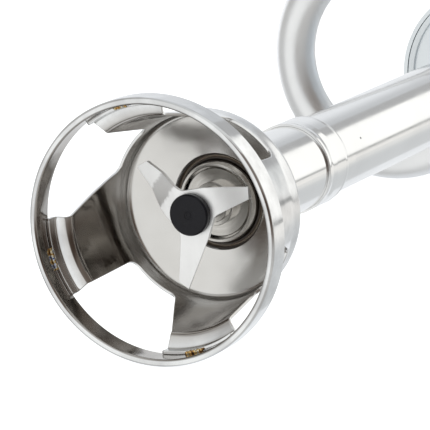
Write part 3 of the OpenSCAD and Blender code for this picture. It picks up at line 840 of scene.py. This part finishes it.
class Sky:
    """The studio around the object, seen by light and reflections: soft panels by azimuth and elevation.

    Both are in degrees. Azimuth 0 is in front of the bell, 90 is +X, and 180 and -180 are behind the grip.
    """

    def __init__(self, tree):
        self.tree = tree
        place = tree.nodes.new("ShaderNodeTexCoord")
        apart = tree.nodes.new("ShaderNodeSeparateXYZ")
        tree.links.new(place.outputs["Generated"], apart.inputs[0])
        ahead = self.math("MULTIPLY", apart.outputs["Y"], -1)
        self.azimuth = self.math("MULTIPLY", self.math("ARCTAN2", apart.outputs["X"], ahead), 180 / math.pi)
        self.elevation = self.math("MULTIPLY", self.math("ARCSINE", apart.outputs["Z"]), 180 / math.pi)
        self.color = None

    def math(self, operation, a, b=None):
        node = self.tree.nodes.new("ShaderNodeMath")
        node.operation = operation
        for socket, value in zip(node.inputs, (a, b)):
            if isinstance(value, (int, float)):
                socket.default_value = value
            elif value is not None:
                self.tree.links.new(value, socket)
        return node.outputs[0]

    def step(self, value, low, high):
        """A smooth change from 0 below low to 1 above high."""
        node = self.tree.nodes.new("ShaderNodeMapRange")
        node.interpolation_type = "SMOOTHSTEP"
        node.inputs["From Min"].default_value = low
        node.inputs["From Max"].default_value = high
        self.tree.links.new(value, node.inputs["Value"])
        return node.outputs["Result"]

    def window(self, value, low, high, soft):
        """1 between low and high, and 0 outside, with soft edges."""
        rise = self.step(value, low - soft, low + soft)
        fall = self.step(value, high - soft, high + soft)
        return self.math("MULTIPLY", rise, self.math("SUBTRACT", 1, fall))

    def paint(self, mask, color):
        """Lays a colour over what is there, as far as the mask says."""
        mix = self.tree.nodes.new("ShaderNodeMix")
        mix.data_type = "RGBA"
        if self.color is None:
            mix.inputs["A"].default_value = (*color, 1)
        else:
            self.tree.links.new(self.color, mix.inputs["A"])
        mix.inputs["B"].default_value = (*color, 1)
        if mask is not None:
            self.tree.links.new(mask, mix.inputs["Factor"])
        self.color = mix.outputs["Result"]

    def panel(self, azimuths, elevations, color, soft, soft_up=None):
        """A panel over what is there, with soft edges. soft_up is for the upper and lower ones."""
        across = self.window(self.azimuth, *azimuths, soft)
        up = self.window(self.elevation, *elevations, soft_up or soft)
        self.paint(self.math("MULTIPLY", across, up), color)


def add_world():
    """White behind the object for the camera, and light and dark panels for light and reflections."""
    world = bpy.data.worlds.new("studio")
    world.use_nodes = True
    scene.world = world
    tree = world.node_tree
    sky = Sky(tree)
    # The room: brightest in front, bright behind on the -X side, and dimmer at both sides and below
    sky.paint(None, (0.79, 0.80, 0.79))
    sky.panel((-46, 20), (-60, 45), (1.05, 1.05, 1.03), 12)
    sky.panel((-120, -46), (-90, -2), (0.66, 0.66, 0.65), 6)
    sky.panel((20, 120), (-90, -12), (0.62, 0.61, 0.59), 6)
    sky.panel((120, 200), (-90, -17), (0.70, 0.715, 0.72), 3, 5)
    sky.panel((-120, -50), (-2, 70), (0.56, 0.55, 0.53), 6)
    sky.panel((-200, -120), (-90, 90), (0.92, 0.94, 0.96), 12)
    # A dark screen at +X, with its darkest band low in it, a lit strip above and a paler edge behind
    sky.panel((20, 105), (-14, 50), (0.24, 0.205, 0.18), 5)
    sky.panel((26, 96), (-5, 14), (0.10, 0.075, 0.06), 6)
    sky.panel((22, 100), (46, 49), (1.1, 1.1, 1.1), 4, 1.5)
    sky.panel((96, 118), (-30, 60), (0.50, 0.48, 0.45), 6)
    # Behind: a lamp on each side, dim panels high between them, and a lit strip with a dark line low at +X
    sky.panel((-144, -98), (-20, 13), (1.3, 1.31, 1.33), 8, 4)
    sky.panel((168, 200), (8, 80), (0.50, 0.50, 0.50), 1.5)
    sky.panel((-200, -168), (15, 80), (0.64, 0.655, 0.67), 9)
    sky.panel((124, 168), (-4, 38), (1.26, 1.25, 1.21), 1.5)
    sky.panel((120, 200), (-14, -5), (1.02, 1.0, 0.96), 3, 4)
    sky.panel((120, 200), (-6.6, -4.8), (0.45, 0.45, 0.44), 3, 0.5)
    light = tree.nodes["Background"]
    tree.links.new(sky.color, light.inputs["Color"])
    white = tree.nodes.new("ShaderNodeBackground")
    white.inputs["Color"].default_value = (1, 1, 1, 1)
    mix = tree.nodes.new("ShaderNodeMixShader")
    path = tree.nodes.new("ShaderNodeLightPath")
    tree.links.new(path.outputs["Is Camera Ray"], mix.inputs["Fac"])
    tree.links.new(light.outputs[0], mix.inputs[1])
    tree.links.new(white.outputs[0], mix.inputs[2])
    tree.links.new(mix.outputs[0], tree.nodes["World Output"].inputs["Surface"])


def add_floor():
    """A plain pale floor that the camera sees as almost white, with a faint shadow under the object."""
    mesh = bpy.data.meshes.new("floor")
    side, gap = 6.0, 0.0002
    z = cad_box[0][2] - gap
    corners = [(-side, -side, z), (side, -side, z), (side, side, z), (-side, side, z)]
    mesh.from_pydata(corners, [], [(0, 1, 2, 3)])
    floor = bpy.data.objects.new("floor", mesh)
    scene.collection.objects.link(floor)
    # The steel mirrors the world's lower half in place of the floor
    floor.visible_glossy = False
    material = bpy.data.materials.new("floor_white")
    material.use_nodes = True
    tree = material.node_tree
    shader = tree.nodes["Principled BSDF"]
    shader.inputs["Base Color"].default_value = (0.80, 0.83, 0.84, 1)
    shader.inputs["Roughness"].default_value = 0.8
    shader.inputs["Emission Color"].default_value = (1, 1, 1, 1)
    path = tree.nodes.new("ShaderNodeLightPath")
    glow = tree.nodes.new("ShaderNodeMapRange")
    glow.inputs["To Min"].default_value = 0.08
    glow.inputs["To Max"].default_value = 0.72
    tree.links.new(path.outputs["Is Camera Ray"], glow.inputs["Value"])
    tree.links.new(glow.outputs["Result"], shader.inputs["Emission Strength"])
    mesh.materials.append(material)


guard_ring()
bell()
weld_beads()
neck_collar()
face_plate()
blade()
blade_cap()
bow()
spring("trigger_spring", Vector((0, 270, -25.9)), 3.4, 19.8, 7)
spring("lock_spring", Vector((0, 240, 4.1)), 4, 11, 5)
add_materials()
add_camera()
scene.view_settings.view_transform = "Standard"
add_world()
add_floor()
